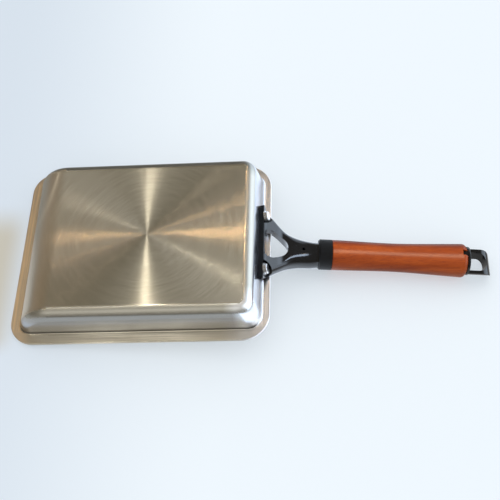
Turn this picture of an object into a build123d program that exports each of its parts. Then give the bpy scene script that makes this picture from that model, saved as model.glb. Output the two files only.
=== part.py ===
from build123d import *
import math
import os

# Tamagoyaki pan: a shallow rectangular egg pan with a curled front end and a wooden handle.
# Millimetres, +Z up, handle towards +X. The origin is on the underside of the flat base,
# below the middle of the rim.

os.makedirs("parts", exist_ok=True)

# Pan sheet and rim
sheet = 2.0
rim_length = 190.0
rim_width = 153.0
rim_height = 24.5
flange_front = 7.5
flange_side = 8.6
flange_handle = 5.4
rim_corner_front = 18.5
rim_corner_handle = 20.5
rim_edge_round = 0.5

# Pan walls: angles are leans away from vertical
side_lean = 2.1
handle_lean = 13.6
front_lean = 14.0
front_sweep_radius = 24.8
base_round = 8.0
handle_corner_radius = 11.0
flange_root_round = 1.6

# Handle line, from the end of the bracket's neck to the hanging loop
neck_reach = 35.0
neck_rise = 11.5
handle_rise = 7.85

# Bracket
plate_foot_width = 65.8
plate_top_width = 55.0
plate_height = 8.2
plate_thickness = 3.4
plate_top_gap = 1.9
plate_corner = 1.0
neck_diameter = 19.2
neck_lift = 1.7
arm_thickness = 8.0
arm_edge_round = 2.6
flange_clearance = 0.5
window_length = 25.3
window_width = 30.4
window_corner = 4.2
window_apex_round = 8.9
window_start = 4.2
drain_hole = 2.4
drain_hole_back = 10.4

# Rivets
rivet_spacing = 46.0
rivet_drop = 4.9
rivet_diameter = 5.0
rivet_fit = 0.1
rivet_inner_head = 9.6
rivet_inner_head_height = 1.7
rivet_outer_head = 7.6
rivet_outer_head_height = 1.9
rivet_pocket = 13.8
rivet_pocket_ceiling = 2.2
rivet_washer_diameter = 9.0
rivet_washer_thickness = 0.8
rivet_head_round = 0.8

# Ferrule
ferrule_length = 10.0
ferrule_front_diameter = 23.0
ferrule_rear_diameter = 22.9
ferrule_bore = 16.0
ferrule_lip = 1.0
spigot_length = 4.8
spigot_fit = 0.15

# Grip
grip_length = 101.7
grip_front_diameter = 22.9
grip_shoulder_diameter = 22.0
grip_waist_diameter = 21.4
grip_swell_diameter = 23.5
grip_rear_diameter = 25.3
grip_rear_round = 3.6
grip_front_round = 0.5
shoulder_share = 0.22
waist_share = 0.45
swell_share = 0.76

# End cap and hanging loop
cap_diameter = 21.4
cap_thickness = 2.2
cap_round = 0.7
loop_reach = 16.8
loop_width = 21.6
loop_height = 8.4
loop_end_round = 8.0
loop_end_lean = 8.0
loop_side_wall = 2.7
loop_end_wall = 1.6
loop_draft = 15.0
loop_window_corner = 7.6
key_width = 4.1
key_depth = 3.4
key_length = 4.0
key_fit = 0.15

# Tie screw, its washers and the insert in the cap
screw_diameter = 4.0
screw_bore_fit = 0.4
screw_head_diameter = 7.0
screw_head_height = 3.0
screw_slot_width = 1.2
screw_slot_depth = 1.4
head_pocket_fit = 0.3
head_seat_back = 17.0
flat_washer_diameter = 8.0
flat_washer_thickness = 0.8
lock_washer_diameter = 7.2
lock_washer_thickness = 1.0
lock_washer_split = 0.9
washer_bore_fit = 0.2
insert_diameter = 7.0
insert_length = 7.0
insert_fit = 0.1
insert_socket_fit = 0.2
screw_end_gap = 0.6

# One overrun serves every cut; the short one serves the loop, whose cuts lean
overrun = 20.0
short_overrun = 2.0

# An edge runs along an axis when its direction cosine passes this share
along_share = 0.7
mid_share = 0.5


def lean_run(height, lean):
    """Horizontal run of a wall of this height that leans away from vertical."""
    return height * math.tan(math.radians(lean))


# Pan, worked out from the rim downwards
rim_half = rim_length / 2
neck_end_x = rim_half + neck_reach
neck_end_z = rim_height + neck_rise
rim_half_width = rim_width / 2
pan_height = rim_height + sheet
handle_wall_foot = rim_half - flange_handle - lean_run(rim_height, handle_lean)
side_wall_foot = rim_half_width - flange_side - lean_run(rim_height, side_lean)
front_wall_top = flange_front - rim_half
front_turn = math.radians(90 - front_lean)
sweep_rise = front_sweep_radius * (1 - math.cos(front_turn))
sweep_run = front_sweep_radius * math.sin(front_turn)
front_foot = front_wall_top + lean_run(rim_height - sweep_rise, front_lean) + sweep_run


def sweep_point(radius, turn):
    """Point on the front wall's lower arc, this far round from the flat base."""
    return (front_foot - radius * math.sin(turn), front_sweep_radius - radius * math.cos(turn))


def cup(inset, ceiling):
    """Solid of the pan's form, set in from the outer face, up to a height."""
    radius = front_sweep_radius - inset
    foot, mid, end = (sweep_point(radius, turn) for turn in (0, front_turn / 2, front_turn))
    handle_foot = handle_wall_foot - inset / math.cos(math.radians(handle_lean))
    side_foot = side_wall_foot - inset / math.cos(math.radians(side_lean))
    handle_low = handle_foot + lean_run(inset, handle_lean)
    handle_high = handle_foot + lean_run(ceiling, handle_lean)
    side_low = side_foot + lean_run(inset, side_lean)
    side_high = side_foot + lean_run(ceiling, side_lean)
    front_high = end[0] - lean_run(ceiling - end[1], front_lean)
    with BuildPart() as form:
        with BuildSketch(Plane.XZ):
            with BuildLine():
                ThreePointArc(foot, mid, end)
                Polyline(end, (front_high, ceiling), (handle_high, ceiling), (handle_low, inset), foot)
            make_face()
        extrude(amount=rim_width, both=True)
        with BuildSketch(Plane.YZ):
            Polygon(
                (-side_low, inset), (side_low, inset), (side_high, ceiling), (-side_high, ceiling),
                align=None,
            )
        extrude(amount=rim_length, both=True, mode=Mode.INTERSECT)
        rising = form.edges().filter_by(lambda edge: abs((edge % mid_share).Z) > along_share)
        fillet(rising.group_by(Axis.X)[-1], handle_corner_radius - inset)
        # the edge round the base and up both ends of the swept front
        top_edges = form.edges().group_by(Axis.Z)[-1]
        rising = form.edges().filter_by(lambda edge: abs((edge % mid_share).Z) > along_share)
        across_pan = form.edges().filter_by(lambda edge: abs((edge % mid_share).Y) > along_share)
        kept = top_edges + rising.filter_by(lambda edge: edge.center().X > 0)
        kept += across_pan.filter_by(lambda edge: edge.center().X < 0)
        fillet([edge for edge in form.edges() if edge not in kept], base_round - inset)
    return form.part


outer_cup = cup(0, rim_height)
inner_cup = cup(sheet, pan_height + overrun)

# Handle line: local z runs along the handle, local y points up from it
rise = math.radians(handle_rise)
handle_dir = (math.cos(rise), 0, math.sin(rise))
handle_up = (-math.sin(rise), 0, math.cos(rise))


def handle_point(along):
    """Point on the handle line at this distance from the end of the neck."""
    return (neck_end_x + along * math.cos(rise), 0, neck_end_z + along * math.sin(rise))


def across(along):
    """Plane square to the handle line."""
    return Plane(origin=handle_point(along), x_dir=(0, 1, 0), z_dir=handle_dir)


handle_side = Plane(origin=handle_point(0), x_dir=handle_dir, z_dir=(0, -1, 0))
handle_axis = Axis(handle_point(0), handle_dir)

# The wall that the bracket hugs: local z points out of the wall, local y up along it
lean = math.radians(handle_lean)
plate_top = rim_height - plate_top_gap
wall_point = (handle_wall_foot + lean_run(plate_top, handle_lean), 0, plate_top)
wall_out = (math.cos(lean), 0, -math.sin(lean))
wall = Plane(origin=wall_point, x_dir=(0, 1, 0), z_dir=wall_out)
wall_axis = Axis(wall_point, wall_out)
rivet_centres = ((rivet_spacing / 2, -rivet_drop), (-rivet_spacing / 2, -rivet_drop))
rivet_hole = rivet_diameter / 2 + rivet_fit
rivet_x = wall_point[0] - lean_run(rivet_drop, handle_lean) + plate_thickness / 2

with BuildPart() as pan_body:
    add(outer_cup)
    with BuildSketch(Plane.XY.offset(rim_height)):
        Rectangle(rim_length, rim_width)
        fillet(vertices().group_by(Axis.X)[0], rim_corner_front)
        fillet(vertices().group_by(Axis.X)[-1], rim_corner_handle)
    extrude(amount=sheet)
    under_flange = pan_body.faces().filter_by(Plane.XY).sort_by(Axis.Z)[-2]
    fillet(under_flange.inner_wires()[0].edges(), flange_root_round)
    add(inner_cup, mode=Mode.SUBTRACT)
    flange_top = pan_body.faces().filter_by(Plane.XY).sort_by(Axis.Z)[-1]
    fillet(flange_top.inner_wires()[0].edges(), flange_root_round + sheet)
    under_flange, flange_top = pan_body.faces().filter_by(Plane.XY).sort_by(Axis.Z)[-2:]
    fillet(under_flange.outer_wire().edges() + flange_top.outer_wire().edges(), rim_edge_round)
    # rivet holes through the wall
    with BuildSketch(wall.offset(sheet)):
        with Locations(rivet_centres):
            Circle(rivet_hole)
    extrude(amount=-overrun, mode=Mode.SUBTRACT)

# Bracket: a plate on the wall, a fan that narrows and rises to a round neck
fan_start_x = wall_point[0] - lean_run(plate_height / 2, handle_lean) + plate_thickness / 2
fan_start_z = plate_top - plate_height / 2
fan_reach = neck_end_x - fan_start_x
fan_rise = neck_end_z + neck_lift - fan_start_z
neck_radius = neck_diameter / 2
fan_shares = (
    # reach, width, rise, thickness, roundness
    (0.000, 0.890, 0.000, 0.00, 0.00),
    (0.054, 0.825, 0.050, 0.00, 0.10),
    (0.153, 0.622, 0.225, 0.00, 0.30),
    (0.253, 0.452, 0.398, 0.00, 0.45),
    (0.352, 0.290, 0.565, 0.14, 0.54),
    (0.452, 0.165, 0.693, 0.46, 0.66),
    (0.552, 0.098, 0.781, 0.63, 0.76),
    (0.651, 0.058, 0.852, 0.69, 0.82),
    (0.751, 0.036, 0.920, 0.76, 0.88),
    (0.875, 0.015, 0.982, 0.89, 0.96),
    (1.000, 0.000, 1.000, 1.00, 1.00),
)
circle_share = 0.985

head_seat = -head_seat_back
screw_bore = screw_diameter + screw_bore_fit
washers_thickness = flat_washer_thickness + lock_washer_thickness

with BuildPart() as handle_bracket:
    for reach, width, climb, thick, roundness in fan_shares:
        half_width = neck_radius + (plate_foot_width / 2 - neck_radius) * width
        half_thick = (arm_thickness + (neck_diameter - arm_thickness) * thick) / 2
        corner = arm_edge_round + (half_thick * circle_share - arm_edge_round) * roundness
        tilt = rise * reach
        place = Plane(
            origin=(fan_start_x + fan_reach * reach, 0, fan_start_z + fan_rise * climb),
            x_dir=(0, 1, 0),
            z_dir=(math.cos(tilt), 0, math.sin(tilt)),
        )
        with BuildSketch(place):
            RectangleRounded(2 * half_width, 2 * half_thick, corner)
    loft()
    # room for the rivets' heads, open from below
    with BuildSketch(Plane.XY):
        with Locations(*((rivet_x, side) for side in (rivet_spacing / 2, -rivet_spacing / 2))):
            Circle(rivet_pocket / 2)
    extrude(amount=rim_height - rivet_pocket_ceiling, mode=Mode.SUBTRACT)
    # plate against the wall, narrower towards the flange
    with BuildSketch(wall):
        Polygon(
            (-plate_top_width / 2, 0),
            (plate_top_width / 2, 0),
            (plate_foot_width / 2, -plate_height),
            (-plate_foot_width / 2, -plate_height),
            align=None,
        )
        fillet(vertices(), plate_corner)
    extrude(amount=plate_thickness)
    # nothing stands inside the wall or against the flange
    with BuildSketch(wall):
        Rectangle(rim_width, rim_width)
    extrude(amount=-overrun, mode=Mode.SUBTRACT)
    with BuildSketch(Plane.XY.offset(rim_height - flange_clearance)):
        with Locations((rim_half + flange_clearance, 0)):
            Rectangle(overrun, rim_width, align=(Align.MAX, Align.CENTER))
    extrude(amount=overrun, mode=Mode.SUBTRACT)
    # three-cornered window between the two arms
    window_foot_x = wall_point[0] - lean_run(plate_height, handle_lean) + window_start
    with BuildSketch(Plane.XY):
        Polygon(
            (window_foot_x, -window_width / 2),
            (window_foot_x + window_length, 0),
            (window_foot_x, window_width / 2),
            align=None,
        )
        fillet(vertices().group_by(Axis.X)[-1], window_apex_round)
        fillet(vertices().group_by(Axis.X)[0], window_corner)
    extrude(amount=neck_end_z + neck_diameter, mode=Mode.SUBTRACT)
    # rivet holes
    with BuildSketch(wall):
        with Locations(rivet_centres):
            Circle(rivet_hole)
    extrude(amount=plate_thickness, mode=Mode.SUBTRACT)
    # square end against the ferrule, with a spigot inside it
    with BuildSketch(across(0)):
        Rectangle(overrun + neck_diameter, overrun + neck_diameter)
    extrude(amount=overrun, mode=Mode.SUBTRACT)
    with BuildSketch(across(0)):
        Circle(ferrule_bore / 2 - spigot_fit)
    extrude(amount=spigot_length)
    # screw bore, and the pocket that its head is reached through
    with BuildSketch(across(head_seat)):
        Circle(screw_bore / 2)
    extrude(amount=head_seat_back + overrun, mode=Mode.SUBTRACT)
    with BuildSketch(across(head_seat)):
        Circle(flat_washer_diameter / 2 + head_pocket_fit)
    extrude(amount=-overrun, mode=Mode.SUBTRACT)
    # drain hole in the underside of the neck
    with BuildSketch(Plane(origin=handle_point(-drain_hole_back), x_dir=(0, 1, 0), z_dir=(0, 0, -1))):
        Circle(drain_hole / 2)
    extrude(amount=neck_diameter, mode=Mode.SUBTRACT)

# Ferrule: a short sleeve over the joint of neck and grip
with BuildPart() as ferrule:
    with BuildSketch(handle_side):
        Polygon(
            (0, ferrule_bore / 2),
            (0, ferrule_front_diameter / 2 - ferrule_lip),
            (ferrule_lip, ferrule_front_diameter / 2),
            (ferrule_length, ferrule_rear_diameter / 2),
            (ferrule_length, ferrule_bore / 2),
            align=None,
        )
    revolve(axis=handle_axis)

# Wooden grip: turned, with a slight waist, a tenon in the ferrule and a notch for the cap's key
grip_front = ferrule_length
grip_end = grip_front + grip_length
tenon_length = ferrule_length - spigot_length
with BuildPart() as grip:
    with BuildSketch(handle_side):
        with BuildLine():
            Spline(
                (grip_front + grip_front_round, grip_front_diameter / 2),
                (grip_front + grip_length * shoulder_share, grip_shoulder_diameter / 2),
                (grip_front + grip_length * waist_share, grip_waist_diameter / 2),
                (grip_front + grip_length * swell_share, grip_swell_diameter / 2),
                (grip_end - grip_rear_round, grip_rear_diameter / 2),
            )
            RadiusArc(
                (grip_end - grip_rear_round, grip_rear_diameter / 2),
                (grip_end, grip_rear_diameter / 2 - grip_rear_round),
                grip_rear_round,
            )
            Polyline(
                (grip_end, grip_rear_diameter / 2 - grip_rear_round),
                (grip_end, 0),
                (grip_front - tenon_length, 0),
                (grip_front - tenon_length, ferrule_bore / 2 - spigot_fit),
                (grip_front, ferrule_bore / 2 - spigot_fit),
                (grip_front, grip_front_diameter / 2 - grip_front_round),
                (grip_front + grip_front_round, grip_front_diameter / 2),
            )
        make_face()
    revolve(axis=handle_axis)
    with BuildSketch(across(grip_front - tenon_length)):
        Circle(screw_bore / 2)
    extrude(amount=grip_length + overrun, mode=Mode.SUBTRACT)
    # socket for the insert's body, and the notch for the key
    with BuildSketch(across(grip_end)):
        Circle(insert_diameter / 2 + insert_socket_fit)
    extrude(amount=-insert_length, mode=Mode.SUBTRACT)
    with BuildSketch(across(grip_end)):
        with Locations((0, key_depth + key_fit - cap_diameter / 2)):
            Rectangle(key_width + 2 * key_fit, grip_rear_diameter / 2, align=(Align.CENTER, Align.MAX))
    extrude(amount=-key_length - key_fit, mode=Mode.SUBTRACT)

# Hanging loop: half of an oval bar, flat side down, that turns up at its end
loop_start = grip_end + cap_thickness
loop_end = loop_start + loop_reach
deck = Plane(origin=handle_point(loop_start), x_dir=handle_dir, z_dir=handle_up)
with BuildPart() as loop_body:
    with BuildSketch(across(loop_start - cap_thickness / 2)):
        Ellipse(loop_width / 2, loop_height)
        Rectangle(loop_width, loop_width, align=(Align.CENTER, Align.MAX), mode=Mode.SUBTRACT)
    extrude(amount=loop_reach + overrun)
    with BuildSketch(handle_side):
        Polygon(
            (grip_end, 0),
            (loop_end, 0),
            (loop_end + lean_run(loop_height + short_overrun, loop_end_lean), loop_height + short_overrun),
            (grip_end, loop_height + short_overrun),
            align=None,
        )
        fillet(vertices().group_by(Axis.Y)[0].sort_by(Axis.X)[-1], loop_end_round)
    extrude(amount=loop_width, both=True, mode=Mode.INTERSECT)
    with BuildSketch(deck):
        with Locations((loop_reach - loop_end_wall, 0)):
            Rectangle(
                loop_reach + cap_thickness,
                loop_width - 2 * loop_side_wall,
                align=(Align.MAX, Align.CENTER),
            )
        fillet(vertices().group_by(Axis.X)[-1], loop_window_corner)
    extrude(amount=loop_height + short_overrun, taper=loop_draft, mode=Mode.SUBTRACT)

# End cap: a disc on the grip's end, the loop, and a key in the notch
with BuildPart() as end_cap:
    with BuildSketch(across(grip_end)):
        Circle(cap_diameter / 2)
    extrude(amount=cap_thickness)
    fillet(end_cap.edges().group_by(SortBy.LENGTH)[-1], cap_round)
    add(loop_body.part)
    with BuildSketch(across(grip_end)):
        with Locations((0, -cap_diameter / 2)):
            Rectangle(key_width, key_depth, align=(Align.CENTER, Align.MIN))
    extrude(amount=-key_length)
    # seat of the threaded insert
    with BuildSketch(across(grip_end)):
        Circle(insert_diameter / 2 + insert_fit)
    extrude(amount=cap_thickness / 2, mode=Mode.SUBTRACT)

# Threaded insert in the cap, inside the grip's end
with BuildPart() as cap_insert:
    with BuildSketch(across(grip_end + cap_thickness / 2)):
        Circle(insert_diameter / 2)
        Circle(screw_diameter / 2, mode=Mode.SUBTRACT)
    extrude(amount=-insert_length)

# Tie screw through neck, ferrule and grip into the insert
screw_tip = grip_end + cap_thickness / 2 - screw_end_gap
head_base = head_seat - washers_thickness
with BuildPart() as tie_screw:
    with BuildSketch(across(head_base)):
        Circle(screw_diameter / 2)
    extrude(amount=screw_tip - head_base)
    with BuildSketch(across(head_base)):
        Circle(screw_head_diameter / 2)
    extrude(amount=-screw_head_height)
    with BuildSketch(across(head_base - screw_head_height)):
        Rectangle(screw_head_diameter, screw_slot_width)
    extrude(amount=screw_slot_depth, mode=Mode.SUBTRACT)

with BuildPart() as flat_washer:
    with BuildSketch(across(head_seat)):
        Circle(flat_washer_diameter / 2)
        Circle(screw_diameter / 2 + washer_bore_fit, mode=Mode.SUBTRACT)
    extrude(amount=-flat_washer_thickness)

with BuildPart() as lock_washer:
    with BuildSketch(across(head_seat - flat_washer_thickness)):
        Circle(lock_washer_diameter / 2)
        Circle(screw_diameter / 2 + washer_bore_fit, mode=Mode.SUBTRACT)
        Rectangle(
            lock_washer_split, lock_washer_diameter, align=(Align.CENTER, Align.MIN), mode=Mode.SUBTRACT
        )
    extrude(amount=-lock_washer_thickness)


def rivet(centre):
    """Rivet through wall and bracket, with a low head inside the pan and one in the pocket."""
    stack = plate_thickness + rivet_washer_thickness
    with BuildPart() as body:
        with BuildSketch(wall.offset(-sheet)):
            with Locations(centre):
                Circle(rivet_diameter / 2)
        extrude(amount=sheet + stack)
        with BuildSketch(wall.offset(-sheet)):
            with Locations(centre):
                Circle(rivet_inner_head / 2)
        extrude(amount=-rivet_inner_head_height)
        fillet(body.faces().sort_by(wall_axis)[0].edges(), rivet_head_round)
        with BuildSketch(wall.offset(stack)):
            with Locations(centre):
                Circle(rivet_outer_head / 2)
        extrude(amount=rivet_outer_head_height)
        fillet(body.faces().sort_by(wall_axis)[-1].edges(), rivet_head_round)
    return body


def rivet_washer(centre):
    """Washer under the rivet's head in the bracket's pocket."""
    with BuildPart() as body:
        with BuildSketch(wall.offset(plate_thickness)):
            with Locations(centre):
                Circle(rivet_washer_diameter / 2)
                Circle(rivet_hole, mode=Mode.SUBTRACT)
        extrude(amount=rivet_washer_thickness)
    return body


rivet_left, rivet_right = (rivet(centre) for centre in rivet_centres)
rivet_washer_left, rivet_washer_right = (rivet_washer(centre) for centre in rivet_centres)

pieces = {
    "pan_body": pan_body,
    "handle_bracket": handle_bracket,
    "rivet_left": rivet_left,
    "rivet_right": rivet_right,
    "rivet_washer_left": rivet_washer_left,
    "rivet_washer_right": rivet_washer_right,
    "ferrule": ferrule,
    "grip": grip,
    "end_cap": end_cap,
    "cap_insert": cap_insert,
    "tie_screw": tie_screw,
    "flat_washer": flat_washer,
    "lock_washer": lock_washer,
}
for label, piece in pieces.items():
    piece.part.label = label
    export_step(piece.part, f"parts/{label}.step")
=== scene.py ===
import math

import bpy
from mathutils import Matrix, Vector

# The camera of the photograph, in the part's own frame: it looks up at the underside.
CAMERA_PLACE = (0.14484, 0.39197, -0.59438)
CAMERA_TURN_DEGREES = (-147.7684, -5.1887, -1.3286)
CAMERA_LENS = 70.70
CAMERA_SENSOR = 36.0

scene = bpy.context.scene
camera_data = bpy.data.cameras.new("camera")
camera_data.lens = CAMERA_LENS
camera_data.sensor_width = CAMERA_SENSOR
camera = bpy.data.objects.new("camera", camera_data)
camera.location = CAMERA_PLACE
camera.rotation_euler = [math.radians(angle) for angle in CAMERA_TURN_DEGREES]
scene.collection.objects.link(camera)
scene.camera = camera
scene.view_settings.view_transform = "Standard"

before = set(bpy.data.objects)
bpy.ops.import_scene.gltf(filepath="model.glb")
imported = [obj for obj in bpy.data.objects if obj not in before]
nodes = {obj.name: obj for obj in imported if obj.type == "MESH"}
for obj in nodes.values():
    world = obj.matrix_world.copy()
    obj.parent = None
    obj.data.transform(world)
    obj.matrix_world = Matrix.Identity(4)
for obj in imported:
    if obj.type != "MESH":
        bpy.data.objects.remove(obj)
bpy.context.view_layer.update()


# Helpers for the nodes of a material or a world. A span is a pair: where something starts and where it ends.
# Spans of places are metres along one axis of the frame.

NOISE_SPAN = (0.3, 0.7)
NOISE_MIDDLE = 0.5


class Graph:
    """Builds the nodes of one material or world."""

    def __init__(self, tree):
        self.tree = tree
        tree.nodes.clear()

    def add(self, kind, inputs=None, **settings):
        node = self.tree.nodes.new(kind)
        for name, value in settings.items():
            setattr(node, name, value)
        for key, value in (inputs or {}).items():
            self.put(node.inputs[key], value)
        return node

    def put(self, socket, value):
        if isinstance(value, bpy.types.NodeSocket):
            self.tree.links.new(value, socket)
        else:
            socket.default_value = value

    def compute(self, operation, a, b, clamp=False):
        return self.add("ShaderNodeMath", {0: a, 1: b}, operation=operation, use_clamp=clamp).outputs[0]

    def times(self, a, b):
        return self.compute("MULTIPLY", a, b)

    def plus(self, a, b):
        return self.compute("ADD", a, b)

    def larger(self, a, b):
        return self.compute("MAXIMUM", a, b)

    def rest(self, share):
        """What is left of one when the share is taken away."""
        return self.compute("SUBTRACT", 1.0, share)

    def absolute(self, value):
        return self.compute("ABSOLUTE", value, 0.0)

    def vector(self, operation, a, b=(0.0, 0.0, 0.0)):
        node = self.add("ShaderNodeVectorMath", {0: a, 1: b}, operation=operation)
        return node.outputs["Value" if operation in ("LENGTH", "DOT_PRODUCT") else "Vector"]

    def split(self, vector):
        return tuple(self.add("ShaderNodeSeparateXYZ", {0: vector}).outputs)

    def join(self, x, y, z):
        return self.add("ShaderNodeCombineXYZ", {0: x, 1: y, 2: z}).outputs[0]

    def noise(self, place, scale, detail=3.0, rough=0.5, distortion=0.0):
        return self.add(
            "ShaderNodeTexNoise",
            {"Vector": place, "Scale": scale, "Detail": detail, "Roughness": rough, "Distortion": distortion},
        ).outputs["Fac"]

    def drawn_noise(self, place, per_metre, detail=3.0, rough=0.5, distortion=0.0):
        """Noise that is drawn out along an axis; per_metre says how fast it changes along x, y and z."""
        return self.noise(self.vector("MULTIPLY", place, per_metre), 1.0, detail, rough, distortion)

    def remap(self, value, span, result, kind="LINEAR"):
        """Turns one span into another; past its ends the result stays level."""
        start, end = span
        low, high = result
        return self.add(
            "ShaderNodeMapRange",
            {"Value": value, "From Min": start, "From Max": end, "To Min": low, "To Max": high},
            interpolation_type=kind,
        ).outputs["Result"]

    def rise(self, value, span, top=1.0):
        return self.remap(value, span, (0.0, top))

    def fall(self, value, span):
        return self.remap(value, span, (1.0, 0.0))

    def soft_rise(self, value, span, top=1.0):
        return self.remap(value, span, (0.0, top), "SMOOTHSTEP")

    def soft_fall(self, value, span, top=1.0):
        return self.remap(value, span, (top, 0.0), "SMOOTHSTEP")

    def spread(self, noise, result):
        """Spreads the usual span of a noise over the result."""
        return self.remap(noise, NOISE_SPAN, result)

    def blend(self, share, a, b):
        node = self.add("ShaderNodeMix", data_type="RGBA")
        self.put(node.inputs["Factor"], share)
        self.put(node.inputs["A"], a)
        self.put(node.inputs["B"], b)
        return node.outputs["Result"]

    def blend_pairs(self, share, first, second):
        """Blends the dark and the light tone of two pairs."""
        return tuple(self.blend(share, a, b) for a, b in zip(first, second))

    def bump(self, height, strength, distance):
        inputs = {"Height": height, "Strength": strength, "Distance": distance}
        return self.add("ShaderNodeBump", inputs).outputs["Normal"]

    def place(self):
        return self.add("ShaderNodeNewGeometry").outputs["Position"]

    def surface(self, shader):
        out = self.add("ShaderNodeOutputMaterial")
        self.put(out.inputs["Surface"], shader)


def new_material(name):
    material = bpy.data.materials.new(name)
    material.use_nodes = True
    return material, Graph(material.node_tree)


def principled(graph, **values):
    shader = graph.add("ShaderNodeBsdfPrincipled")
    for name, value in values.items():
        graph.put(shader.inputs[name.replace("_", " ")], value)
    graph.surface(shader.outputs["BSDF"])


def colour(red, green, blue):
    return (red, green, blue, 1.0)


# The brushed base. Its grooves run round a point a little off the middle.

BRUSH_CENTRE = (0.0058, 0.0, 0.0)
GROOVE_TIP = 0.55
CROSSING_TIP = 0.6 * GROOVE_TIP
GROOVE_SPAN = (0.25, 0.75)
GROOVE_ROUGHNESS = (0.235, 0.270)
CLOUD_ROUGHNESS = (-0.008, 0.008)
SWEPT_SPAN = (-0.082, -0.072)
BASE_TONES = (colour(0.57, 0.53, 0.435), colour(0.63, 0.59, 0.49))
SWEPT_SHEEN_TONE = colour(0.74, 0.69, 0.60)


def brushed_base():
    material, g = new_material("brushed_base")
    place = g.place()
    x, y, _ = g.split(g.vector("SUBTRACT", place, BRUSH_CENTRE))
    level = g.join(x, y, 0.0)
    radial = g.vector("NORMALIZE", level)
    radius = g.vector("LENGTH", level)
    turn = g.compute("ARCTAN2", y, x)

    def rings(across, along, shift, detail, rough):
        """Noise in rings: quick change with the radius, slow change with the turn."""
        return g.noise(g.join(g.times(radius, across), g.times(turn, along), shift), 1.0, detail, rough)

    grooves = rings(across=7000.0, along=3.0, shift=0.0, detail=4.0, rough=0.6)
    crossing = rings(across=5200.0, along=5.0, shift=31.0, detail=2.0, rough=0.5)
    coarse = rings(across=420.0, along=2.2, shift=7.0, detail=3.0, rough=0.55)
    cloud = g.noise(place, scale=22.0, detail=2.0)
    tone = g.blend(g.rise(coarse, NOISE_SPAN), *BASE_TONES)
    # Painted sheen: the swept front end is given a brighter tone.
    tone = g.blend(g.fall(x, SWEPT_SPAN), tone, SWEPT_SHEEN_TONE)
    rough = g.plus(g.remap(grooves, GROOVE_SPAN, GROOVE_ROUGHNESS), g.spread(cloud, CLOUD_ROUGHNESS))
    # Each groove tips the surface outwards or inwards along the radius.
    tip = g.plus(
        g.times(g.compute("SUBTRACT", grooves, NOISE_MIDDLE), GROOVE_TIP),
        g.times(g.compute("SUBTRACT", crossing, NOISE_MIDDLE), CROSSING_TIP),
    )
    plain = g.add("ShaderNodeNewGeometry").outputs["Normal"]
    tipped = g.vector("ADD", plain, g.vector("MULTIPLY", radial, g.join(tip, tip, tip)))
    principled(
        g, Base_Color=tone, Metallic=1.0, Roughness=rough, Anisotropic=1.0, Tangent=radial,
        Normal=g.vector("NORMALIZE", tipped),
    )
    return material


# The pressed walls, and the rounding between them and the base.

WALL_HANDLE_SPAN = (0.072, 0.080)
WALL_FRONT_SPAN = (-0.080, -0.070)
WALL_NEAR_SPAN = (0.060, 0.066)
NEAR_UPPER_SPAN = (0.0095, 0.0125)
NEAR_UPPER_SHARE = 0.75
RIM_ROOT_SPAN = (0.0215, 0.0240)
WALL_CORNER_X_SPAN = (0.070, 0.077)
WALL_CORNER_Y_SPAN = (0.052, 0.060)
WALL_ROUGHNESS = (0.24, 0.27)
WALL_TONES = (colour(0.39, 0.38, 0.355), colour(0.44, 0.43, 0.405))
WALL_FRONT_SHEEN_TONES = (colour(0.48, 0.47, 0.45), colour(0.55, 0.54, 0.52))
WALL_SHEEN_TONES = (colour(0.50, 0.52, 0.56), colour(0.56, 0.58, 0.62))
WALL_CORNER_HIGHLIGHT_TONES = (colour(0.76, 0.79, 0.82), colour(0.84, 0.87, 0.90))
RIM_ROOT_SHADE_TONE = colour(0.20, 0.19, 0.17)

EDGE_FAR_SPAN = (-0.060, -0.050)
EDGE_CORNER_X_SPAN = (0.064, 0.072)
EDGE_CORNER_Y_SPAN = (0.046, 0.056)
EDGE_ROUGHNESS = (0.36, 0.43)
EDGE_TONES = (colour(0.46, 0.44, 0.39), colour(0.55, 0.53, 0.47))
EDGE_FAR_SHADE_TONES = (colour(0.27, 0.27, 0.25), colour(0.34, 0.34, 0.32))
EDGE_CORNER_HIGHLIGHT_TONES = (colour(0.74, 0.75, 0.76), colour(0.84, 0.85, 0.86))


def pressed_wall():
    material, g = new_material("pressed_wall")
    place = g.place()
    x, y, z = g.split(place)
    drawn = g.drawn_noise(place, per_metre=(60.0, 60.0, 700.0))
    # Painted reflection: the wall is brighter towards the handle and the front,
    # and over the upper half of the near side.
    near_side = g.rise(y, WALL_NEAR_SPAN)
    near_upper = g.times(near_side, g.rise(z, NEAR_UPPER_SPAN, NEAR_UPPER_SHARE))
    painted_sheen = g.larger(g.rise(x, WALL_HANDLE_SPAN), near_upper)
    # Painted highlight at the near corner by the handle.
    corner = g.times(g.rise(x, WALL_CORNER_X_SPAN), g.rise(y, WALL_CORNER_Y_SPAN))
    tones = g.blend_pairs(g.fall(x, WALL_FRONT_SPAN), WALL_TONES, WALL_FRONT_SHEEN_TONES)
    tones = g.blend_pairs(painted_sheen, tones, WALL_SHEEN_TONES)
    tones = g.blend_pairs(corner, tones, WALL_CORNER_HIGHLIGHT_TONES)
    # Painted shade: the near side is darker where it meets the rim.
    root_shade = g.times(near_side, g.rise(z, RIM_ROOT_SPAN))
    principled(
        g, Base_Color=g.blend(root_shade, g.blend(drawn, *tones), RIM_ROOT_SHADE_TONE), Metallic=1.0,
        Roughness=g.spread(drawn, WALL_ROUGHNESS), Normal=g.bump(drawn, strength=0.01, distance=0.0002),
    )
    return material


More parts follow.
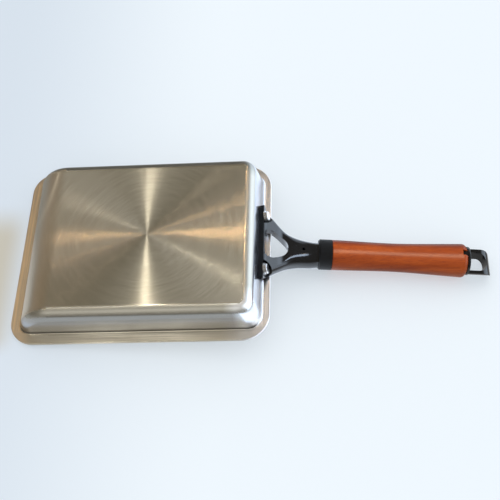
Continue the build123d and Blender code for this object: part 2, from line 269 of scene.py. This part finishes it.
def pressed_edge():
    """The rounding between base and walls, a little rougher than the walls, with painted shade along the far
    side and a painted highlight at the near corner by the handle.
    """
    material, g = new_material("pressed_edge")
    place = g.place()
    x, y, _ = g.split(place)
    worn = g.noise(place, scale=260.0, detail=4.0, rough=0.6)
    # Painted highlight at the near corner by the handle.
    corner = g.times(g.rise(x, EDGE_CORNER_X_SPAN), g.rise(y, EDGE_CORNER_Y_SPAN))
    # Painted shade along the far side.
    tones = g.blend_pairs(g.fall(y, EDGE_FAR_SPAN), EDGE_TONES, EDGE_FAR_SHADE_TONES)
    tones = g.blend_pairs(corner, tones, EDGE_CORNER_HIGHLIGHT_TONES)
    principled(
        g, Base_Color=g.blend(worn, *tones), Metallic=1.0,
        Roughness=g.spread(worn, EDGE_ROUGHNESS), Normal=g.bump(worn, strength=0.03, distance=0.0003),
    )
    return material


# The flat rim.

RIM_LONG_SIDE_SPAN = (0.064, 0.068)
RIM_COOL_SPAN = (0.06, 0.09)
RIM_WARM_SPAN = (-0.086, -0.078)
RIM_END_SHADE_SPAN = (0.025, 0.065)
RIM_END_SHADE_SHARE = 0.95
RIM_LINE_SPAN = (0.40, 0.60)
RIM_LINE_SHARE = 0.75
RIM_WORN_SPAN = (0.35, 0.65)
RIM_WORN_SHARE = 0.25
RIM_ROUGHNESS = (0.28, 0.38)
RIM_TONES = (colour(0.52, 0.47, 0.38), colour(0.92, 0.85, 0.71))
RIM_COOL_REFLECTION_TONES = (colour(0.62, 0.60, 0.61), colour(0.88, 0.86, 0.87))
RIM_WARM_REFLECTION_TONES = (colour(0.72, 0.59, 0.44), colour(0.98, 0.76, 0.50))


def rim_metal():
    """Rolled sheet with lines along each side; painted reflections make the handle's side cooler and the
    front side warmer.
    """
    material, g = new_material("rim_metal")
    place = g.place()
    x, y, _ = g.split(place)
    along_x = g.drawn_noise(place, per_metre=(14.0, 620.0, 200.0), detail=4.0, rough=0.6)
    along_y = g.drawn_noise(place, per_metre=(620.0, 14.0, 200.0), detail=4.0, rough=0.6)
    long_side = g.rise(g.absolute(y), RIM_LONG_SIDE_SPAN)
    lines = g.plus(g.times(along_x, long_side), g.times(along_y, g.rest(long_side)))
    worn = g.noise(place, scale=35.0, detail=3.0, rough=0.6)
    # Painted reflections: cooler towards the handle, warmer towards the front.
    tones = g.blend_pairs(g.rise(x, RIM_COOL_SPAN), RIM_TONES, RIM_COOL_REFLECTION_TONES)
    tones = g.blend_pairs(g.fall(x, RIM_WARM_SPAN), tones, RIM_WARM_REFLECTION_TONES)
    # Painted shade: both ends of the long sides are darker than their middle.
    end_shade = g.soft_rise(g.absolute(x), RIM_END_SHADE_SPAN, RIM_END_SHADE_SHARE)
    share = g.times(
        g.rest(g.times(long_side, end_shade)),
        g.plus(g.rise(lines, RIM_LINE_SPAN, RIM_LINE_SHARE), g.rise(worn, RIM_WORN_SPAN, RIM_WORN_SHARE)),
    )
    principled(
        g, Base_Color=g.blend(share, *tones), Metallic=1.0,
        Roughness=g.spread(lines, RIM_ROUGHNESS), Normal=g.bump(lines, strength=0.10, distance=0.0003),
    )
    return material


# Rivets, screw, washers and insert.

RIVET_TONE, RIVET_ROUGHNESS = colour(0.80, 0.80, 0.81), (0.22, 0.34)
BRASS_TONE, BRASS_ROUGHNESS = colour(0.75, 0.58, 0.27), (0.25, 0.35)
ZINC_TONE, ZINC_ROUGHNESS = colour(0.66, 0.67, 0.69), (0.25, 0.38)


def turned_metal(name, tone, roughness):
    material, g = new_material(name)
    speck = g.noise(g.place(), scale=900.0)
    principled(
        g, Base_Color=tone, Metallic=1.0,
        Roughness=g.spread(speck, roughness), Normal=g.bump(speck, strength=0.06, distance=0.0002),
    )
    return material


# The black mouldings.

PHENOLIC_TONES = (colour(0.003, 0.003, 0.004), colour(0.007, 0.007, 0.008))
PHENOLIC_ROUGHNESS = (0.12, 0.18)
PHENOLIC_SPECK_SHARE = 0.25
PARTING_TONES = (colour(0.005, 0.006, 0.007), colour(0.012, 0.013, 0.014))
PARTING_ROUGHNESS = (0.35, 0.45)
COLLAR_TONES = (colour(0.005, 0.005, 0.006), colour(0.011, 0.011, 0.012))
COLLAR_ROUGHNESS = (0.50, 0.66)


def phenolic():
    material, g = new_material("gloss_phenolic")
    place = g.place()
    flow = g.noise(place, scale=160.0, detail=4.0, rough=0.6)
    speck = g.noise(place, scale=1400.0, detail=3.0, rough=0.6)
    height = g.plus(flow, g.times(speck, PHENOLIC_SPECK_SHARE))
    principled(
        g, Base_Color=g.blend(flow, *PHENOLIC_TONES), Roughness=g.spread(flow, PHENOLIC_ROUGHNESS), IOR=1.55,
        Normal=g.bump(height, strength=0.015, distance=0.0004),
    )
    return material


def parting_face():
    """The matt skin that the mould leaves on the lower edge of the bracket's plate."""
    material, g = new_material("phenolic_parting_face")
    grain = g.noise(g.place(), scale=900.0, detail=4.0, rough=0.6)
    principled(
        g, Base_Color=g.blend(grain, *PARTING_TONES), Roughness=g.spread(grain, PARTING_ROUGHNESS),
        Specular_IOR_Level=0.12, Normal=g.bump(grain, strength=0.1, distance=0.0003),
    )
    return material


def collar():
    material, g = new_material("matt_collar")
    grain = g.noise(g.place(), scale=1800.0, detail=4.0, rough=0.65)
    principled(
        g, Base_Color=g.blend(grain, *COLLAR_TONES), Roughness=g.spread(grain, COLLAR_ROUGHNESS),
        Specular_IOR_Level=0.3, Normal=g.bump(grain, strength=0.25, distance=0.0003),
    )
    return material


# The wooden grip.

WOOD_SLOW_SPAN = (0.35, 0.65)
WOOD_TONES = (colour(0.24, 0.036, 0.004), colour(0.40, 0.078, 0.009))
WOOD_FINE_SPAN = (0.35, 0.75)
WOOD_FINE_SHARE = 0.5
WOOD_FINE_TONE = colour(0.17, 0.024, 0.005)
WOOD_PORE_SPAN = (0.60, 0.70)
WOOD_PORE_SHARE = 0.6
WOOD_PORE_TONE = colour(0.085, 0.014, 0.004)
WOOD_FAR_SHADE_SPAN = (-0.0078, -0.0020)
WOOD_NEAR_SHADE_SPAN = (0.0030, 0.0100)
WOOD_NEAR_SHADE_SHARE = 0.3
WOOD_SIDE_SHADE = (0.48, 0.40, 0.34)
WOOD_ROUGHNESS = (0.34, 0.46)


def wood():
    material, g = new_material("varnished_wood")
    place = g.place()
    slow = g.drawn_noise(place, per_metre=(14.0, 90.0, 90.0), rough=0.55, distortion=0.4)
    fine = g.drawn_noise(place, per_metre=(60.0, 1300.0, 1300.0), rough=0.6)
    pores = g.rise(g.drawn_noise(place, per_metre=(110.0, 2300.0, 2300.0), detail=2.0), WOOD_PORE_SPAN)
    tone = g.blend(g.rise(slow, WOOD_SLOW_SPAN), *WOOD_TONES)
    tone = g.blend(g.rise(fine, WOOD_FINE_SPAN, WOOD_FINE_SHARE), tone, WOOD_FINE_TONE)
    tone = g.blend(g.times(pores, WOOD_PORE_SHARE), tone, WOOD_PORE_TONE)
    # Painted shade: the grip is darker along both sides.
    y = g.split(place)[1]
    side_shade = g.larger(g.fall(y, WOOD_FAR_SHADE_SPAN), g.rise(y, WOOD_NEAR_SHADE_SPAN, WOOD_NEAR_SHADE_SHARE))
    tone = g.blend(side_shade, tone, g.vector("MULTIPLY", tone, WOOD_SIDE_SHADE))
    height = g.compute("SUBTRACT", fine, g.times(pores, WOOD_PORE_SHARE))
    principled(
        g, Base_Color=tone, Roughness=g.spread(fine, WOOD_ROUGHNESS), IOR=1.22, Coat_Weight=0.30,
        Coat_Roughness=0.25, Normal=g.bump(height, strength=0.12, distance=0.0003),
    )
    return material


# The finishes go on the solids. The pan's faces are told apart by height and by the way they face.

RIM_LEVEL = 0.0240
EDGE_LEVEL = 0.008
EDGE_FACING = -0.55
FLAT_FACING = 0.985
SWEEP_START = -0.058
SWEEP_FACING = 0.30
PLATE_REACH = 0.096
PLATE_FACING_Z = -0.9
PLATE_FACING_X = -0.1


def give(names, *finishes):
    for name in names:
        materials = nodes[name].data.materials
        materials.clear()
        for finish in finishes:
            materials.append(finish)


give(["pan_body"], brushed_base(), pressed_wall(), rim_metal(), pressed_edge())
BASE_INDEX, WALL_INDEX, RIM_INDEX, EDGE_INDEX = range(4)
pan_mesh = nodes["pan_body"].data
for face in pan_mesh.polygons:
    lowest = min(pan_mesh.vertices[index].co.z for index in face.vertices)
    facing = face.normal
    flat = abs(facing.z) > FLAT_FACING
    swept = face.center.x < SWEEP_START and abs(facing.y) < SWEEP_FACING and abs(facing.z) > SWEEP_FACING
    if lowest > RIM_LEVEL:
        face.material_index = RIM_INDEX
    elif flat or swept:
        face.material_index = BASE_INDEX
    elif lowest < EDGE_LEVEL and facing.z < EDGE_FACING:
        face.material_index = EDGE_INDEX
    else:
        face.material_index = WALL_INDEX

gloss = phenolic()
give(["handle_bracket"], gloss, parting_face())
give(["end_cap"], gloss)
GLOSS_INDEX, PARTING_INDEX = range(2)
for face in nodes["handle_bracket"].data.polygons:
    facing = face.normal
    lower_edge = face.center.x < PLATE_REACH and facing.z < PLATE_FACING_Z and facing.x < PLATE_FACING_X
    face.material_index = PARTING_INDEX if lower_edge else GLOSS_INDEX

give(["ferrule"], collar())
give(["grip"], wood())
give(["rivet_left", "rivet_right", "rivet_washer_left", "rivet_washer_right"],
     turned_metal("rivet_metal", RIVET_TONE, RIVET_ROUGHNESS))
give(["cap_insert"], turned_metal("insert_brass", BRASS_TONE, BRASS_ROUGHNESS))
give(["tie_screw", "flat_washer", "lock_washer"], turned_metal("zinc_steel", ZINC_TONE, ZINC_ROUGHNESS))


# Table and floor. In the frame the pan stands upright and the camera looks up at it, so the table of the
# photograph lies above it and shows only from below. The floor lies under it and shows only from above.

SHEET_HALF = 0.9
FLOOR_HEIGHT = -0.0002
TABLE_CONTACT_X, TABLE_CONTACT_Z = -0.0950, 0.0266
TABLE_SLOPE = 0.1125
TABLE_TONE = colour(0.91, 0.96, 0.99)
TABLE_MATT = (0.62, 0.60, 0.58)
TABLE_GLOW = (0.385, 0.405, 0.43)
TABLE_FADE_SPAN = (0.6, 0.85)
FLOOR_TONE = colour(0.91, 0.94, 0.96)
FLOOR_MATT = (0.97, 0.97, 0.97)
FLOOR_GLOW = (0.06, 0.06, 0.06)
FLOOR_FADE_SPAN = (0.35, 0.85)

DIM_SPAN = (-0.150, 0.060)
DIM_TONE = colour(0.72, 0.78, 0.84)
WARM_FAR_SPAN = (-0.050, -0.015)
WARM_NEAR_SPAN = (0.068, 0.088)
WARM_START_SPAN = (-0.112, -0.088)
WARM_END_SPAN = (-0.200, -0.140)
WARM_REFLECTION_SHARE = 0.85
WARM_REFLECTION_TONE = colour(0.60, 0.54, 0.42)

MIRROR_NEAR_SPAN = (0.060, 0.075)
MIRROR_FAR_SPAN = (-0.030, -0.012)
PALE_BEFORE_GRIP_SPAN = (0.130, 0.155)
PALE_FAR_SPAN = (-0.100, -0.060)
PALE_START_SPAN = (0.080, 0.090)
PALE_END_SPAN = (0.260, 0.320)
MIRROR_PLAIN = colour(0.62, 0.62, 0.61)
MIRROR_NEAR = colour(0.72, 0.77, 0.82)
MIRROR_FAR = colour(0.34, 0.35, 0.345)
MIRROR_HANDLE = colour(1.45, 1.62, 1.85)


def seen_tone(g, x, y, tone, mirrored):
    """The tone to the camera: painted shade darkens it towards the pan's front, where a painted warm
    reflection of the steel also tints the table.
    """
    shade = g.blend(g.soft_rise(x, DIM_SPAN), DIM_TONE, tone)
    # Painted warm reflection of the steel beside the pan's front.
    beside = g.times(g.soft_rise(y, WARM_FAR_SPAN), g.soft_fall(y, WARM_NEAR_SPAN))
    ahead = g.times(g.soft_fall(x, WARM_START_SPAN, WARM_REFLECTION_SHARE), g.soft_rise(x, WARM_END_SPAN))
    return g.blend(g.times(g.times(beside, ahead), mirrored), shade, WARM_REFLECTION_TONE)


def mirrored_tone(g, x, y):
    """What a mirror shows: pale beside the handle, bluish on the near side, dull on the far side."""
    tone = g.blend(g.soft_fall(y, MIRROR_FAR_SPAN), MIRROR_PLAIN, MIRROR_FAR)
    tone = g.blend(g.soft_rise(y, MIRROR_NEAR_SPAN), tone, MIRROR_NEAR)
    # Along the grip the pale patch starts farther out, so that the grip's own edge stays dark.
    strip = g.larger(g.soft_fall(x, PALE_BEFORE_GRIP_SPAN), g.soft_fall(y, PALE_FAR_SPAN))
    reach = g.times(g.soft_rise(x, PALE_START_SPAN), g.soft_fall(x, PALE_END_SPAN))
    return g.blend(g.times(strip, reach), tone, MIRROR_HANDLE)


def one_sided(name, tone, matt_tone, glow_tone, fade_span, mirrored):
    """A matt surface that shows only from its front and fades out with distance. mirrored is 1 for the table,
    which shows in the steel and takes the painted warm reflection of it, and 0 for the floor."""
    material, g = new_material(name)
    ray = g.add("ShaderNodeLightPath").outputs
    in_mirror = ray["Is Glossy Ray"]
    back = g.add("ShaderNodeNewGeometry").outputs["Backfacing"]
    x, y, _ = g.split(g.place())
    looks = g.compute("ADD", ray["Is Camera Ray"], g.times(in_mirror, mirrored), clamp=True)
    fade = g.soft_fall(g.vector("LENGTH", g.join(x, y, 0.0)), fade_span)
    shown = g.times(g.times(looks, g.rest(back)), fade)
    look = seen_tone(g, x, y, tone, mirrored)
    matt = g.add("ShaderNodeBsdfDiffuse", {"Color": g.vector("MULTIPLY", look, matt_tone)})
    glow = g.add("ShaderNodeEmission", {"Color": g.vector("MULTIPLY", look, glow_tone), "Strength": 1.0})
    plain = g.add("ShaderNodeAddShader", {0: matt.outputs[0], 1: glow.outputs[0]})
    mirror = g.add("ShaderNodeEmission", {"Color": mirrored_tone(g, x, y), "Strength": 1.0})
    either = g.add("ShaderNodeMixShader", {0: in_mirror, 1: plain.outputs[0], 2: mirror.outputs[0]})
    clear = g.add("ShaderNodeBsdfTransparent")
    mix = g.add("ShaderNodeMixShader", {0: shown, 1: clear.outputs[0], 2: either.outputs[0]})
    g.surface(mix.outputs[0])
    return material


def sheet(name, corners, material):
    mesh = bpy.data.meshes.new(name)
    mesh.from_pydata(corners, [], [(0, 1, 2, 3)])
    mesh.materials.append(material)
    thing = bpy.data.objects.new(name, mesh)
    scene.collection.objects.link(thing)


def table_corner(x, y):
    return (x, y, TABLE_CONTACT_Z + TABLE_SLOPE * (x - TABLE_CONTACT_X))


low, high = -SHEET_HALF, SHEET_HALF
sheet(
    "table",
    [table_corner(x, y) for x, y in ((low, low), (low, high), (high, high), (high, low))],
    one_sided("table_white", TABLE_TONE, TABLE_MATT, TABLE_GLOW, TABLE_FADE_SPAN, mirrored=1.0),
)
sheet(
    "floor",
    [(x, y, FLOOR_HEIGHT) for x, y in ((low, low), (high, low), (high, high), (low, high))],
    one_sided("floor_white", FLOOR_TONE, FLOOR_MATT, FLOOR_GLOW, FLOOR_FADE_SPAN, mirrored=0.0),
)


# The room is dim below and around, with a pale ceiling, a warm side and a cool window past the handle.

CEILING_SPAN = (0.20, 0.55)
ROOM_TONE = colour(0.235, 0.215, 0.175)
CEILING_TONE = colour(0.80, 0.86, 0.93)
WINDOW_TURN = math.radians(-20.0)
WINDOW_SIDE_SPAN = (0.50, 0.78)
WINDOW_LOW_SPAN = (-0.68, -0.48)
WINDOW_TONE = colour(2.05, 2.38, 2.75)
WARM_SIDE = (-0.66, -0.50, -0.56)
WARM_SIDE_SPAN = (0.86, 0.98)
WARM_SIDE_TONE = colour(0.33, 0.265, 0.20)
BACKDROP_TONE = colour(0.86, 0.92, 0.96)
DAYLIGHT_SPAN = (-0.10, 0.10)
DAYLIGHT_LOW = colour(0.93, 0.97, 1.01)
DAYLIGHT_HIGH = colour(0.42, 0.44, 0.47)


def room_world():
    world = bpy.data.worlds.new("studio")
    world.use_nodes = True
    g = Graph(world.node_tree)
    direction = g.add("ShaderNodeTexCoord").outputs["Generated"]
    up = g.split(direction)[2]
    to_window = (math.cos(WINDOW_TURN), math.sin(WINDOW_TURN), 0.0)
    window = g.times(
        g.soft_rise(g.vector("DOT_PRODUCT", direction, to_window), WINDOW_SIDE_SPAN),
        g.soft_rise(up, WINDOW_LOW_SPAN),
    )
    warm_side = g.soft_rise(g.vector("DOT_PRODUCT", direction, WARM_SIDE), WARM_SIDE_SPAN)
    room = g.blend(g.soft_rise(up, CEILING_SPAN), ROOM_TONE, CEILING_TONE)
    room = g.blend(warm_side, room, WARM_SIDE_TONE)
    room = g.blend(window, room, WINDOW_TONE)
    # Cameras see a plain backdrop and mirrors show the room. Matt surfaces are lit by daylight that is
    # brighter from below, the side that the photograph shows.
    ray = g.add("ShaderNodeLightPath").outputs
    looked_at = g.blend(ray["Is Camera Ray"], room, BACKDROP_TONE)
    looks = g.plus(ray["Is Camera Ray"], ray["Is Glossy Ray"])
    looks = g.compute("ADD", looks, ray["Is Transmission Ray"], clamp=True)
    daylight = g.blend(g.soft_rise(up, DAYLIGHT_SPAN), DAYLIGHT_LOW, DAYLIGHT_HIGH)
    shown = g.blend(looks, daylight, looked_at)
    background = g.add("ShaderNodeBackground", {"Color": shown, "Strength": 1.0})
    out = g.add("ShaderNodeOutputWorld")
    g.put(out.inputs["Surface"], background.outputs[0])
    return world


scene.world = room_world()


# Lamps. Some light one part alone, so that its streaks and highlights can be set by themselves.

CREAM = (1.0, 0.93, 0.80)
ORANGE = (1.0, 0.66, 0.36)
COOL = (0.97, 1.0, 1.03)
SKY = (0.66, 0.80, 1.0)
NEAR_GLOW = (0.97, 0.97, 0.94)
CORNER_GLOW = (0.93, 0.97, 1.04)
NECK_GLOW = (1.0, 0.80, 0.55)
GRIP_GLOW = (1.0, 0.78, 0.56)
TOP_GLOW = (1.0, 0.98, 0.95)
TOP_SIDE_GLOW = (0.92, 0.96, 1.0)

# The level parts of the unit vector from the brush's centre to the camera.
VIEW_X, VIEW_Y = 0.1917, 0.5403


def only_on(name, node):
    group = bpy.data.collections.new(name)
    group.objects.link(nodes[node])
    return group


def sun(name, towards, strength, tone, soft, lit=None):
    """A sun in the direction towards, soft degrees wide, that lights everything or one group alone."""
    data = bpy.data.lights.new(name, "SUN")
    data.energy = strength
    data.color = tone
    data.angle = math.radians(soft)
    lamp = bpy.data.objects.new(name, data)
    lamp.rotation_euler = Vector(towards).to_track_quat("Z", "Y").to_euler()
    scene.collection.objects.link(lamp)
    if lit:
        lamp.light_linking.receiver_collection = lit


steel = only_on("steel_parts", "pan_body")
black = only_on("black_parts", "handle_bracket")
timber = only_on("wooden_parts", "grip")


def streak_lamp(name, degrees, reach, strength, tone, soft):
    """A lamp for one streak of the base. The streak lies where the directions to lamp and camera, added,
    point along it: degrees is the way it points, reach the level length of that sum."""
    turn = math.radians(degrees)
    x = reach * math.cos(turn) - VIEW_X
    y = reach * math.sin(turn) - VIEW_Y
    sun(name, (x, y, -math.sqrt(1.0 - x * x - y * y)), strength, tone, soft, steel)


streak_lamp("lamp_overhead", degrees=87.6, reach=0.40, strength=0.20, tone=CREAM, soft=1.4)
streak_lamp("lamp_warm_side", degrees=0.0, reach=0.34, strength=0.10, tone=ORANGE, soft=2.0)
streak_lamp("lamp_thin", degrees=29.0, reach=0.46, strength=0.06, tone=CREAM, soft=2.0)
streak_lamp("lamp_faint_a", degrees=-20.7, reach=0.40, strength=0.04, tone=ORANGE, soft=2.0)
streak_lamp("lamp_faint_b", degrees=-43.5, reach=0.46, strength=0.03, tone=CREAM, soft=3.0)
streak_lamp("lamp_broad", degrees=45.0, reach=0.38, strength=0.13, tone=COOL, soft=45.0)
sun("lamp_near_glow", towards=(-0.16, 0.61, -0.775), strength=0.34, tone=NEAR_GLOW, soft=40.0, lit=steel)
sun("lamp_corner", towards=(0.68, 0.28, -0.675), strength=0.62, tone=CORNER_GLOW, soft=38.0, lit=steel)
sun("lamp_neck", towards=(0.367, -0.296, -0.884), strength=0.04, tone=NECK_GLOW, soft=5.0, lit=black)
sun("lamp_fan", towards=(0.49, -0.06, -0.87), strength=1.30, tone=SKY, soft=24.0, lit=black)
sun("lamp_fan_side", towards=(0.72, -0.42, -0.55), strength=0.26, tone=SKY, soft=32.0, lit=black)
sun("lamp_grip", towards=(0.285, 0.0, -0.958), strength=1.6, tone=GRIP_GLOW, soft=24.0, lit=timber)
sun("lamp_top", towards=(0.12, 0.10, 0.988), strength=1.3, tone=TOP_GLOW, soft=50.0)
sun("lamp_top_side", towards=(-0.6, 0.5, 0.75), strength=0.25, tone=TOP_SIDE_GLOW, soft=40.0)
